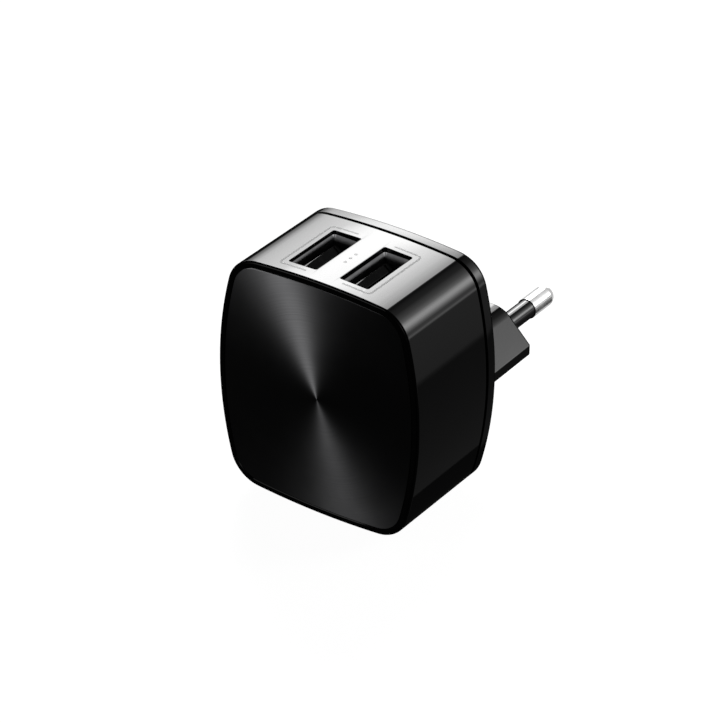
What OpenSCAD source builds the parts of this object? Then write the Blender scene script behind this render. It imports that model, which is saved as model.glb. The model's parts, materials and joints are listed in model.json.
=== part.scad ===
// Wall charger with two upright USB-A ports and a fixed two-pin Europlug.
// The origin is the middle of the plug's end face, between the pins. +Y runs into the
// wall socket and +Z is up, so the decorated front faces -Y and the ports open upwards.

/* [Body] */
// Width across the bulged left and right sides
body_w = 42.6; // [42:0.2:44]
// Height over the bulged top and bottom
body_h = 47.2; // [46.6:0.2:48.6]
// Depth from the front rim to the rear face
body_d = 24.5; // [24.5:0.5:26]
// How far the left and right sides bulge beyond their corners
side_rise = 4; // [3.6:0.1:4.4]
// How far the top and bottom bulge beyond their corners
top_rise = 1.5; // [1.2:0.1:1.8]
// Radius of the four long corners
corner_r = 6.7; // [6:0.1:7.4]
// Wall of the shell and the rear cover
wall = 1.6; // [1.5:0.1:1.7]
// Rounding of the shell's front rim
rim_r = 0.6; // [0.5:0.1:1.2]
// Width of the shadow gap between shell and rear cover
gap_w = 0.6; // [0.4:0.1:0.8]
// Depth of the rear cover's visible rim
cover_rim = 2.7; // [2.5:0.1:3]

/* [Front plate] */
// Thickness of the spun front plate
plate_t = 0.8; // [0.6:0.1:0.9]
// Distance from the body's outline to the plate's edge
plate_inset = 1.35; // [1.3:0.05:1.5]

/* [Plug] */
// Length of the plug nose behind the rear cover
nose_len = 16.8; // [16:0.2:17.6]
// Width of the nose at its end face
nose_w = 35.3; // [35:0.1:35.6]
// Height of the nose at its end face
nose_h = 13.7; // [13.5:0.1:13.9]
// How far the nose widens on each side towards the cover
nose_draft = 0.2; // [0:0.1:0.5]
// Height of the body's middle above the pins
plug_drop = 3.7; // [3.4:0.1:4]
// Distance between the pin centres
pin_gap = 18.6; // [18:0.1:19]
// Diameter of the bare pin
pin_d = 4; // [3.9:0.05:4.05]
// Length of the pins beyond the end face
pin_len = 19; // [18.5:0.5:19.5]
// Length of the insulating sleeve beyond the end face
sleeve_len = 11.5; // [10:0.5:12]
// Diameter of the insulating sleeve
sleeve_d = 3.65; // [3.6:0.05:3.65]

/* [USB ports] */
// Distance between the two ports' centres
port_gap = 10.8; // [10.6:0.1:11]
// Depth of the ports' centres behind the front rim
port_back = 10.1; // [10:0.1:10.3]
// Length of a receptacle's mouth, inside its steel shell
mouth_l = 12.5; // [12.5:0.05:12.6]
// Height of a receptacle's mouth, inside its steel shell
mouth_h = 5.12; // [5.1:0.02:5.16]
// How far the steel shell lies below the top of the housing
mouth_sink = 0.8; // [0.5:0.1:0.9]
// Sheet thickness of the steel shell
steel_t = 0.3; // [0.25:0.05:0.3]

/* [Hidden] */
$fn = 48;

// Planes along Y, from the front rim to the plug's end face at 0
rear_y = -nose_len;
front_y = rear_y - body_d;
cover_front_y = rear_y - cover_rim;
shell_end_y = cover_front_y - gap_w;
plate_sink = 0.1;
plate_front_y = front_y + plate_sink;
tape_front_y = plate_front_y + plate_t;
tape_t = 0.15;
shell_face_y = tape_front_y + tape_t;
front_wall = 1.4;
cavity_front_y = shell_face_y + front_wall;
rear_wall = 1.8;
cover_edge_r = 0.9;
cover_inner_y = rear_y - rear_wall;

// The body's outline, made of side, corner and top arcs that meet tangentially
body_z = plug_drop;
side_r = (body_h * body_h / 4 + side_rise * side_rise) / (2 * side_rise);
top_r = (body_w * body_w / 4 + top_rise * top_rise) / (2 * top_rise);
side_c = [body_w / 2 - side_r, 0];
top_c = [0, body_h / 2 - top_r];
corner_c = arcs_meet(side_c, side_r - corner_r, top_c, top_r - corner_r);
side_end = atan2(corner_c[1] - side_c[1], corner_c[0] - side_c[0]);
top_start = atan2(corner_c[1] - top_c[1], corner_c[0] - top_c[0]);
side_steps = 7;
corner_steps = 7;

// The receptacles stand on the board's front face
port_y = front_y + port_back;
steel_l = mouth_l + 2 * steel_t;
steel_h = mouth_h + 2 * steel_t;
port_clear = 0.1;
board_t = 1.6;
board_front_y = port_y + steel_l / 2;
board_rear_y = board_front_y + board_t;
board_inset = wall + 0.4;
steel_top_z = body_z + body_h / 2 - mouth_sink;
steel_len = 14.2;
steel_bottom_z = steel_top_z - steel_len;
block_top_z = steel_bottom_z + 2.3;
tongue_t = 1.84;
tongue_w = 11.1;
tongue_top_z = steel_top_z - 1.4;
tongue_slope = 0.65;
leg_past_board = 0.55;

// Four contacts a port, for power, two data lines and ground
contact_rows = [-3.5, -1, 1, 3.5];
contact_w = 1;
contact_t = 0.2;
contact_root = [-0.42, block_top_z + 0.6];
contact_knuckle_r = 0.15;
groove_w = 1.2;
groove_deep = 1;
groove_end = 1.1;
tail_w = 0.6;
tail_low_z = steel_bottom_z - 4.8;
tail_step = 1.2;

// Where the parts stand on the board, as [x, z]
transformer_at = [0, -3];
bulk_upper_at = [-14, 1.5];
bulk_lower_at = [-13, -7.6];
output_at = [13.3, 15.8];
choke_at = [13.8, 1.6];
fuse_x = 13.4;
fuse_z = [-12.4, -4];
varistor_at = [0, -14.6];
bridging_at = [13.2, 8.6];
lead_w = 0.6;
transformer_primary = [for (x = [-4.5, -1.5, 1.5, 4.5]) transformer_at + [x, -7.4]];
transformer_secondary = [for (x = [-3, 0, 3]) transformer_at + [x, 7.4]];
lead_spots = concat(transformer_primary, transformer_secondary,
    pair(bulk_upper_at, 1.75), pair(bulk_lower_at, 1.75),
    pair(output_at, 1.75), pair([-output_at[0], output_at[1]], 1.75),
    pair(choke_at, 2), [[fuse_x, fuse_z[0]], [fuse_x, fuse_z[1]]],
    pair(varistor_at, 2.5), pair(bridging_at, 2.5));

function arcs_meet(a, ra, b, rb) =
    let (d = b - a, len = norm(d), along = (ra * ra - rb * rb + len * len) / (2 * len),
         across = sqrt(ra * ra - along * along), u = d / len)
    a + u * along + [-u[1], u[0]] * across;
function arc(c, r, from, to, steps, first = 0) =
    [for (i = [first:steps]) let (t = from + (to - from) * i / steps) c + r * [cos(t), sin(t)]];
// A closed outline, symmetric left to right and top to bottom, from its first quarter
function four_quarters(q) =
    let (n = len(q))
    concat(q, [for (i = [n - 2:-1:0]) [-q[i][0], q[i][1]]],
           [for (i = [1:n - 1]) -q[i]], [for (i = [n - 2:-1:1]) [q[i][0], -q[i][1]]]);
function body_points(inset) = four_quarters(concat(
    arc(side_c, side_r - inset, 0, side_end, side_steps),
    arc(corner_c, corner_r - inset, side_end, top_start, corner_steps, 1),
    arc(top_c, top_r - inset, top_start, 90, side_steps, 1)));
function pair(spot, reach) = [spot - [reach, 0], spot + [reach, 0]];
// Both edges of a bent metal strip that follows a path of [x, z] points
function strip_points(path, t) =
    let (n = len(path),
         side = [for (i = [0:n - 1])
             let (d = path[min(i + 1, n - 1)] - path[max(i - 1, 0)]) [-d[1], d[0]] / norm(d) * t / 2])
    concat([for (i = [0:n - 1]) path[i] + side[i]], [for (i = [n - 1:-1:0]) path[i] - side[i]]);

// Extrudes a drawing of the X-Z plane from one Y plane to another
module slab(from_y, to_y) {
    translate([0, to_y, 0]) rotate([90, 0, 0]) linear_extrude(to_y - from_y) children();
}
module body_outline(inset = 0) {
    translate([0, body_z]) polygon(body_points(inset));
}
// A slab of the body whose edge at round_y is rounded and whose edge at sharp_y is not
module rounded_body(round_y, sharp_y, r) {
    inward = sign(sharp_y - round_y);
    hull() for (t = [0:30:90]) {
        y = round_y + inward * r * (1 - sin(t));
        slab(min(y, sharp_y), max(y, sharp_y)) body_outline(r * (1 - cos(t)));
    }
}
module box(from, to) {
    translate(from) cube(to - from);
}
// A turned part on an axis parallel to Y, from [radius, y] points
module turned(x, z, points) {
    translate([x, 0, z]) rotate([-90, 0, 0]) rotate_extrude() polygon(points);
}
// A square lead from a component down through the board
module lead(spot, from_y) {
    box([spot[0] - lead_w / 2, from_y, spot[1] - lead_w / 2],
        [spot[0] + lead_w / 2, board_rear_y + leg_past_board, spot[1] + lead_w / 2]);
}

module front_plate() {
    color([0.05, 0.05, 0.055])
    slab(plate_front_y, tape_front_y) body_outline(plate_inset);
}
module plate_tape() {
    color([0.85, 0.84, 0.8])
    slab(tape_front_y, shell_face_y) body_outline(plate_inset + 0.5);
}

// Hooks on the cover's lip and the pockets they snap into, on the left and right walls
hook_half = 3;
hook_y = shell_end_y - 1.9;
module hook_zone(outer_inset, inner_inset, half_l, from_y, to_y) {
    intersection() {
        difference() {
            slab(from_y, to_y) body_outline(outer_inset);
            slab(from_y - 1, to_y + 1) body_outline(inner_inset);
        }
        box([-body_w, from_y, body_z - half_l], [body_w, to_y, body_z + half_l]);
    }
}

// Ribs inside the side walls that the board's edge rests on
rib_rows = [-9, 9];
module board_ribs() {
    for (side = [-1, 1]) for (row = rib_rows)
        box([side > 0 ? 18.1 : -19.9, cavity_front_y - 0.4, body_z + row - 0.8],
            [side > 0 ? 19.9 : -18.1, board_front_y, body_z + row + 0.8]);
}
module main_shell() {
    color([0.02, 0.02, 0.022])
    union() {
        difference() {
            rounded_body(front_y, shell_end_y, rim_r);
            slab(front_y - 1, shell_face_y) body_outline(plate_inset - 0.05);
            slab(cavity_front_y, shell_end_y + 1) body_outline(wall);
            for (side = [-1, 1])
                box([side * port_gap / 2 - steel_h / 2 - port_clear / 2,
                     port_y - steel_l / 2 - port_clear, body_z],
                    [side * port_gap / 2 + steel_h / 2 + port_clear / 2,
                     port_y + steel_l / 2 + port_clear, body_z + body_h]);
            hook_zone(wall - 0.5, wall + 0.3, hook_half + 0.3, hook_y - 0.6, hook_y + 0.6);
        }
        board_ribs();
    }
}

// The plug nose: a flat hexagon with its side points cut off square, as the standard plug is
nose_tip_r = 0.3;
nose_tip_h = 0.8;
nose_corner_r = 5;
function nose_points(grow) =
    let (a = nose_w / 2 + grow, b = nose_h / 2 + grow,
         slant = a - nose_tip_r + nose_tip_h + nose_tip_r * sqrt(2),
         cz = b - nose_corner_r, cx = slant - sqrt(2) * nose_corner_r - cz)
    four_quarters(concat([[a, 0]], arc([a - nose_tip_r, nose_tip_h], nose_tip_r, 0, 45, 3),
                         arc([cx, cz], nose_corner_r, 45, 90, 6)));
module nose_outline(grow = 0) {
    polygon(nose_points(grow));
}
nose_edge_r = 0.5;
nose_end_wall = 3;
nose_wall = 1.8;
module nose_block() {
    hull() {
        slab(rear_y - 0.5, rear_y) nose_outline(nose_draft);
        for (t = [0:45:90]) {
            y = -nose_edge_r * (1 - sin(t));
            slab(y - 0.05, y) nose_outline(-nose_edge_r * (1 - cos(t)));
        }
    }
}
lip_play = 0.06;
lip_t = 1.1;
module cover_lip() {
    difference() {
        slab(board_rear_y, cover_inner_y) body_outline(wall + lip_play);
        slab(board_rear_y - 1, cover_inner_y + 1) body_outline(wall + lip_play + lip_t);
    }
    hook_zone(wall - 0.35, wall + 0.4, hook_half, hook_y - 0.4, hook_y + 0.4);
}
module rear_cover() {
    color([0.02, 0.02, 0.022])
    union() {
        cover_lip();
        difference() {
            union() {
                difference() {
                    rounded_body(rear_y, cover_front_y, cover_edge_r);
                    slab(cover_front_y - 1, cover_inner_y) body_outline(wall + lip_play + lip_t);
                }
                nose_block();
            }
            slab(cover_inner_y - 1, -nose_end_wall) nose_outline(-nose_wall);
            for (side = [-1, 1])
                translate([side * pin_gap / 2, 1, 0]) rotate([90, 0, 0])
                    cylinder(d = sleeve_d, h = nose_end_wall + 2);
        }
    }
}

// Solid brass pins, necked down where the sleeve sits. A collar on each pin and a flange on
// each sleeve lie behind the nose's end wall, and the pin holder presses on the collars.
pin_neck_r = 1.5;
pin_collar_r = 2.6;
pin_tail_r = 1;
flange_r = 3;
flange_y = -nose_end_wall - 1.5;
collar_y = flange_y - 1.5;
pin_tail_y = cover_inner_y - 2;
module plug_pin(x) {
    r = pin_d / 2;
    color([0.8, 0.8, 0.78])
    turned(x, 0, concat([[0, pin_tail_y], [pin_tail_r, pin_tail_y], [pin_tail_r, collar_y],
        [pin_collar_r, collar_y], [pin_collar_r, flange_y], [pin_neck_r, flange_y],
        [pin_neck_r, sleeve_len], [r, sleeve_len]], arc([0, pin_len - r], r, 0, 90, 12)));
}
module pin_sleeve(x) {
    color([0.03, 0.03, 0.03])
    turned(x, 0, [[pin_neck_r, flange_y], [flange_r, flange_y], [flange_r, -nose_end_wall],
        [sleeve_d / 2, -nose_end_wall], [sleeve_d / 2, sleeve_len], [pin_neck_r, sleeve_len]]);
}
module pin_holder() {
    color([0.12, 0.12, 0.12])
    difference() {
        slab(collar_y - 2, collar_y) nose_outline(-nose_wall - 0.02);
        for (side = [-1, 1]) translate([side * pin_gap / 2, collar_y + 1, 0]) rotate([90, 0, 0])
            cylinder(r = pin_tail_r + 0.05, h = 4);
    }
}

// A forked spring on the board that grips the pin's tail
fork_t = 0.4;
fork_half_w = 1.5;
fork_end_y = pin_tail_y + 2.6;
module mains_contact(x) {
    inner = pin_tail_r + 0.02;
    color([0.85, 0.65, 0.3])
    union() {
        box([x - fork_half_w, board_rear_y, -3], [x + fork_half_w, board_rear_y + fork_t, 3]);
        for (side = [-1, 1]) {
            translate([x - fork_half_w, 0, 0]) rotate([90, 0, 90]) linear_extrude(2 * fork_half_w)
                polygon([[board_rear_y + 0.1, side * inner], [fork_end_y - 0.8, side * inner],
                         [fork_end_y, side * (inner + 0.5)],
                         [fork_end_y, side * (inner + 0.5 + fork_t)],
                         [fork_end_y - 0.9, side * (inner + fork_t)],
                         [board_rear_y + 0.1, side * (inner + fork_t)]]);
            box([x - 0.6, board_front_y - 0.4, side * 2.7 - 0.2],
                [x + 0.6, board_rear_y + 0.1, side * 2.7 + 0.2]);
        }
    }
}

// The board, with slots for every lead, leg and tail
leg_w = 1.6;
leg_rows = [3.4, 10.2];
module board_slot(spot, w, h) {
    box([spot[0] - w / 2, board_front_y - 1, spot[1] - h / 2],
        [spot[0] + w / 2, board_rear_y + 1, spot[1] + h / 2]);
}
module main_board() {
    color([0.1, 0.35, 0.16])
    difference() {
        slab(board_front_y, board_rear_y) body_outline(board_inset);
        for (spot = lead_spots) board_slot(spot, lead_w + 0.1, lead_w + 0.1);
        for (side = [-1, 1]) {
            x = side * port_gap / 2;
            for (i = [0:3])
                board_slot([x + contact_root[0], tail_z(i) + 0.25], contact_t + 0.1, 0.6);
            for (wall_side = [-1, 1]) for (row = leg_rows)
                board_slot([x + wall_side * (steel_h - steel_t) / 2, steel_bottom_z + row],
                           steel_t + 0.2, leg_w + 0.2);
            for (end = [-1, 1])
                board_slot([side * pin_gap / 2, end * 2.7], 1.3, 0.5);
        }
        // Routed slot that keeps the mains side apart from the low-voltage side
        board_slot([-7.5, 6.6], 9, 0.9);
    }
}
module solder_joints() {
    color([0.72, 0.72, 0.74])
    for (spot = lead_spots) difference() {
        translate([spot[0], board_rear_y, spot[1]]) rotate([-90, 0, 0])
            cylinder(r1 = 0.95, r2 = 0.5, h = 0.45);
        box([spot[0] - lead_w / 2, board_rear_y - 1, spot[1] - lead_w / 2],
            [spot[0] + lead_w / 2, board_rear_y + 1, spot[1] + lead_w / 2]);
    }
}

// Transformer with an E-E ferrite core, wound on a bobbin whose axis stands on the board
core_w = 16;
core_h = 12.4;
core_t = 5;
core_leg = 2.2;
core_middle = 4;
core_low_y = board_front_y - 1;
core_high_y = core_low_y - core_h;
bobbin_w = core_w - 2 * core_leg - 0.3;
bobbin_flange = 0.9;
module transformer_core() {
    z = transformer_at[1];
    mid_y = (core_low_y + core_high_y) / 2;
    color([0.2, 0.2, 0.21])
    for (half = [-1, 1]) {
        low = half < 0 ? core_high_y : mid_y + 0.03;
        high = half < 0 ? mid_y - 0.03 : core_low_y;
        yoke = half < 0 ? [core_high_y, core_high_y + core_leg] : [core_low_y - core_leg, core_low_y];
        union() {
            box([-core_w / 2, yoke[0], z - core_t / 2], [core_w / 2, yoke[1], z + core_t / 2]);
            box([-core_middle / 2, low, z - core_t / 2], [core_middle / 2, high, z + core_t / 2]);
            for (side = [-1, 1])
                box([side > 0 ? core_w / 2 - core_leg : -core_w / 2, low, z - core_t / 2],
                    [side > 0 ? core_w / 2 : -core_w / 2 + core_leg, high, z + core_t / 2]);
        }
    }
}
module transformer_bobbin() {
    z = transformer_at[1];
    top = core_high_y + core_leg + 0.05;
    low = core_low_y - core_leg - 0.05;
    color([0.12, 0.12, 0.12])
    union() {
        difference() {
            union() {
                box([-2.8, top, z - 3.4], [2.8, low, z + 3.4]);
                box([-bobbin_w / 2, top, z - 6.6], [bobbin_w / 2, top + bobbin_flange, z + 6.6]);
                box([-bobbin_w / 2, low - bobbin_flange, z - 6.6], [bobbin_w / 2, low, z + 6.6]);
            }
            box([-core_middle / 2 - 0.1, top - 1, z - core_t / 2 - 0.1],
                [core_middle / 2 + 0.1, low + 1, z + core_t / 2 + 0.1]);
        }
        for (side = [-1, 1])
            box([-bobbin_w / 2, low - bobbin_flange, z + side * 7.2 - 1.3],
                [bobbin_w / 2, board_front_y, z + side * 7.2 + 1.3]);
    }
}
module transformer_winding() {
    z = transformer_at[1];
    top = core_high_y + core_leg + 0.05 + bobbin_flange;
    low = core_low_y - core_leg - 0.05 - bobbin_flange;
    color([0.9, 0.75, 0.15])
    translate([0, 0, z]) difference() {
        slab(top, low) union() {
            square([8.6, 12.4], center = true);
            square([10.6, 10.4], center = true);
            for (x = [-4.3, 4.3]) for (y = [-5.2, 5.2]) translate([x, y]) circle(r = 1);
        }
        slab(top - 1, low + 1) square([5.6, 6.8], center = true);
    }
}
module transformer_pins() {
    color([0.75, 0.75, 0.77])
    for (spot = concat(transformer_primary, transformer_secondary)) lead(spot, board_front_y);
}

// An electrolytic can standing on the board, with its vent end forward
module can(at, d, len, spread) {
    high_y = board_front_y - 0.3 - len;
    union() {
        turned(at[0], at[1], [[0, high_y + 0.25], [d / 2 - 1, high_y + 0.25], [d / 2 - 0.8, high_y],
            [d / 2 - 0.3, high_y], [d / 2, high_y + 0.4], [d / 2, board_front_y - 2.6],
            [d / 2 - 0.35, board_front_y - 2.2], [d / 2, board_front_y - 1.8],
            [d / 2, board_front_y - 0.3], [0, board_front_y - 0.3]]);
        for (spot = pair(at, spread)) lead(spot, board_front_y - 0.4);
    }
}
bulk_d = 8;
bulk_len = 12.6;
output_d = 8;
output_len = 11.5;
module bulk_capacitor_upper() {
    color([0.16, 0.1, 0.06]) can(bulk_upper_at, bulk_d, bulk_len, 1.75);
}
module bulk_capacitor_lower() {
    color([0.16, 0.1, 0.06]) can(bulk_lower_at, bulk_d, bulk_len, 1.75);
}
module output_capacitor(side) {
    color([0.1, 0.22, 0.14]) can([side * output_at[0], output_at[1]], output_d, output_len, 1.75);
}

// A drum core with its coil under heat-shrink
module input_choke() {
    color([0.05, 0.05, 0.05])
    union() {
        turned(choke_at[0], choke_at[1], [[0, board_front_y - 9.3], [3.3, board_front_y - 9.3],
            [3.3, board_front_y - 7.9], [2.9, board_front_y - 7.5], [2.9, board_front_y - 2.1],
            [3.3, board_front_y - 1.7], [3.3, board_front_y - 0.3], [0, board_front_y - 0.3]]);
        for (spot = pair(choke_at, 2)) lead(spot, board_front_y - 0.4);
    }
}
// A fusible resistor lying above the board on two bent leads
fuse_y = board_front_y - 3.2;
module fuse_resistor() {
    low = fuse_z[0] + 1.2;
    high = fuse_z[1] - 1.2;
    color([0.35, 0.5, 0.62])
    union() {
        translate([fuse_x, fuse_y, low]) rotate_extrude() polygon([[0, 0], [1.3, 0], [1.6, 0.4],
            [1.6, 1.5], [1.4, 1.9], [1.4, high - low - 1.9], [1.6, high - low - 1.5],
            [1.6, high - low - 0.4], [1.3, high - low], [0, high - low]]);
        for (z = fuse_z) lead([fuse_x, z], fuse_y - lead_w / 2);
        box([fuse_x - lead_w / 2, fuse_y - lead_w / 2, fuse_z[0]],
            [fuse_x + lead_w / 2, fuse_y + lead_w / 2, low + 0.1]);
        box([fuse_x - lead_w / 2, fuse_y - lead_w / 2, high - 0.1],
            [fuse_x + lead_w / 2, fuse_y + lead_w / 2, fuse_z[1]]);
    }
}
// A dipped ceramic disc standing on two leads, its face turned up
module disc(at, d, t) {
    y = board_front_y - 1 - d / 2;
    union() {
        translate([at[0], y, at[1] - t / 2]) rotate_extrude() polygon([[0, 0], [d / 2 - 0.8, 0],
            [d / 2 - 0.2, 0.4], [d / 2, t / 2], [d / 2 - 0.2, t - 0.4], [d / 2 - 0.8, t], [0, t]]);
        for (spot = pair(at, 2.5)) lead(spot, y);
    }
}
module varistor() {
    color([0.1, 0.25, 0.6]) disc(varistor_at, 7, 3.4);
}
module bridging_capacitor() {
    color([0.12, 0.4, 0.75]) disc(bridging_at, 7, 3);
}

// A moulded chip on the board's rear face, with gull-wing legs on two sides
module chip(at, w, h, t, legs, pitch) {
    body_y = board_rear_y + 0.15;
    union() {
        box([at[0] - w / 2, body_y, at[1] - h / 2], [at[0] + w / 2, body_y + t, at[1] + h / 2]);
        for (side = [-1, 1]) for (i = [0:legs - 1]) {
            z = at[1] + (i - (legs - 1) / 2) * pitch;
            inner = side * (w / 2 - 0.1);
            outer = side * (w / 2 + 1);
            foot = side * (w / 2 + 0.45);
            box([at[0] + min(inner, side * (w / 2 + 0.55)), body_y + t * 0.4, z - 0.2],
                [at[0] + max(inner, side * (w / 2 + 0.55)), body_y + t * 0.4 + 0.2, z + 0.2]);
            box([at[0] + min(foot, side * (w / 2 + 0.65)), board_rear_y, z - 0.2],
                [at[0] + max(foot, side * (w / 2 + 0.65)), body_y + t * 0.4 + 0.2, z + 0.2]);
            box([at[0] + min(foot, outer), board_rear_y, z - 0.2],
                [at[0] + max(foot, outer), board_rear_y + 0.2, z + 0.2]);
        }
    }
}
module bridge_rectifier() {
    color([0.06, 0.06, 0.06]) chip([0, -5], 3.9, 4.6, 1.4, 2, 2.5);
}
module controller_chip() {
    color([0.06, 0.06, 0.06]) chip([-6.5, -13.9], 3.9, 4.9, 1.4, 4, 1.27);
}
module output_diode() {
    color([0.06, 0.06, 0.06]) chip([0, 20], 4.2, 3.6, 2, 1, 2);
}
module port_detection_chip() {
    color([0.06, 0.06, 0.06]) chip([0, 12.5], 1.7, 2.9, 1, 3, 0.95);
}
resistor_spots = [[-3.5, -0.5], [-3.5, 1.5], [4.5, -1], [4.5, 1], [0, -16], [6, -14.5],
                  [-9.5, 13.5], [-9.5, 20.5], [9.5, 20.5], [0, 16]];
capacitor_spots = [[0, 0.5], [8.5, -8.5], [-8, -8.5], [7.8, -11.7], [9.5, 13.5], [-9.5, 17],
                   [9.5, 17], [0, 8.5]];
module surface_block(spot, t) {
    box([spot[0] - 1, board_rear_y, spot[1] - 0.6], [spot[0] + 1, board_rear_y + t, spot[1] + 0.6]);
}
module surface_resistors() {
    color([0.08, 0.08, 0.09])
    for (spot = resistor_spots)
        surface_block(spot, 0.5);
}
module surface_capacitors() {
    color([0.6, 0.5, 0.36])
    for (spot = capacitor_spots)
        surface_block(spot, 0.9);
}
// Sheet between the transformer and the receptacles
module barrier_sheet() {
    color([0.9, 0.9, 0.84])
    box([-17.6, cavity_front_y + 0.1, 6.05], [17.6, board_front_y - 0.1, 6.35]);
}

// Folded steel shell with four springs that hold the plug and four legs in the board
spring_w = 1.6;
spring_len = 4.6;
spring_lean = 4;
spring_foot_z = steel_bottom_z + 5.2;
module shell_spring(side, y) {
    x = side * (steel_h - steel_t) / 2;
    translate([x, y, spring_foot_z - 0.1]) rotate([0, -side * spring_lean, 0])
        translate([-steel_t / 2, -spring_w / 2, 0]) cube([steel_t, spring_w, spring_len]);
}
module usb_shell(side) {
    x = side * port_gap / 2;
    color([0.3, 0.3, 0.31])
    translate([x, port_y, 0]) union() {
        difference() {
            box([-steel_h / 2, -steel_l / 2, steel_bottom_z], [steel_h / 2, steel_l / 2, steel_top_z]);
            box([-mouth_h / 2, -mouth_l / 2, steel_bottom_z - 1],
                [mouth_h / 2, mouth_l / 2, steel_top_z + 1]);
            for (wall_side = [-1, 1]) for (y = [-3.2, 3.2])
                box([wall_side * steel_h / 2 - 1, y - spring_w / 2 - 0.4, spring_foot_z],
                    [wall_side * steel_h / 2 + 1, y + spring_w / 2 + 0.4,
                     spring_foot_z + spring_len + 0.5]);
        }
        for (wall_side = [-1, 1]) {
            for (y = [-3.2, 3.2]) shell_spring(wall_side, y);
            for (row = leg_rows) {
                leg_x = wall_side * (steel_h - steel_t) / 2;
                box([leg_x - steel_t / 2, steel_l / 2 - 0.2, steel_bottom_z + row - leg_w / 2],
                    [leg_x + steel_t / 2, steel_l / 2 + board_t + leg_past_board,
                     steel_bottom_z + row + leg_w / 2]);
            }
        }
    }
}
// Block and tongue, with a groove for each contact and a sloping tip that leads the plug in
module usb_insulator(side) {
    color([0.03, 0.03, 0.03])
    translate([side * port_gap / 2, port_y, 0]) difference() {
        union() {
            box([-mouth_h / 2, -mouth_l / 2, steel_bottom_z], [mouth_h / 2, mouth_l / 2, block_top_z]);
            slab(-tongue_w / 2, tongue_w / 2)
                polygon([[-tongue_t, steel_bottom_z], [0, steel_bottom_z],
                         [0, tongue_top_z - tongue_slope], [-tongue_t, tongue_top_z]]);
        }
        for (y = contact_rows) {
            box([-groove_deep, y - groove_w / 2, block_top_z],
                [1, y + groove_w / 2, tongue_top_z - groove_end]);
            box([contact_root[0] - 0.15, y - tail_w / 2 - 0.05, steel_bottom_z - 1],
                [contact_root[0] + 0.15, y + tail_w / 2 + 0.05, block_top_z + 1]);
        }
    }
}
// The free springs of the contacts, which lean out of the tongue's grooves
contact_path = [contact_root, [0.24, block_top_z + 7.1], [0.5, block_top_z + 8],
                [0.42, block_top_z + 8.5], [-0.2, block_top_z + 9.1]];
module usb_contacts(side) {
    color([0.95, 0.78, 0.35])
    translate([side * port_gap / 2, port_y, 0])
    for (y = contact_rows) union() {
        slab(y - contact_w / 2, y + contact_w / 2) polygon(strip_points(contact_path, contact_t));
        translate([contact_root[0], y - contact_w / 2, contact_root[1]]) rotate([-90, 0, 0])
            cylinder(r = contact_knuckle_r, h = contact_w, $fn = 24);
    }
}
function tail_z(i) = tail_low_z + tail_step * i;
module usb_tails(side) {
    color([0.95, 0.78, 0.35])
    translate([side * port_gap / 2 + contact_root[0], 0, 0])
    for (i = [0:3]) {
        y = port_y + contact_rows[i];
        union() {
            box([-contact_t / 2, y - tail_w / 2, tail_z(i)],
                [contact_t / 2, y + tail_w / 2, contact_root[1] - contact_knuckle_r - 0.06]);
            box([-contact_t / 2, y - tail_w / 2, tail_z(i)],
                [contact_t / 2, board_rear_y + leg_past_board, tail_z(i) + 0.5]);
        }
    }
}

front_plate();
plate_tape();
main_shell();
rear_cover();
plug_pin(pin_gap / 2);  // live_pin
plug_pin(-pin_gap / 2);  // neutral_pin
pin_sleeve(pin_gap / 2);  // live_sleeve
pin_sleeve(-pin_gap / 2);  // neutral_sleeve
pin_holder();
mains_contact(pin_gap / 2);  // live_contact
mains_contact(-pin_gap / 2);  // neutral_contact
main_board();
solder_joints();
transformer_core();
transformer_bobbin();
transformer_winding();
transformer_pins();
bulk_capacitor_upper();
bulk_capacitor_lower();
output_capacitor(-1);  // output_capacitor_left
output_capacitor(1);  // output_capacitor_right
input_choke();
fuse_resistor();
varistor();
bridging_capacitor();
bridge_rectifier();
controller_chip();
output_diode();
port_detection_chip();
surface_resistors();
surface_capacitors();
barrier_sheet();
usb_shell(-1);  // usb_shell_left
usb_shell(1);  // usb_shell_right
usb_insulator(-1);  // usb_insulator_left
usb_insulator(1);  // usb_insulator_right
usb_contacts(-1);  // usb_contacts_left
usb_contacts(1);  // usb_contacts_right
usb_tails(-1);  // usb_tails_left
usb_tails(1);  // usb_tails_right
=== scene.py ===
import json
import math

import bmesh
import bpy
from mathutils import Matrix, Vector

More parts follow.
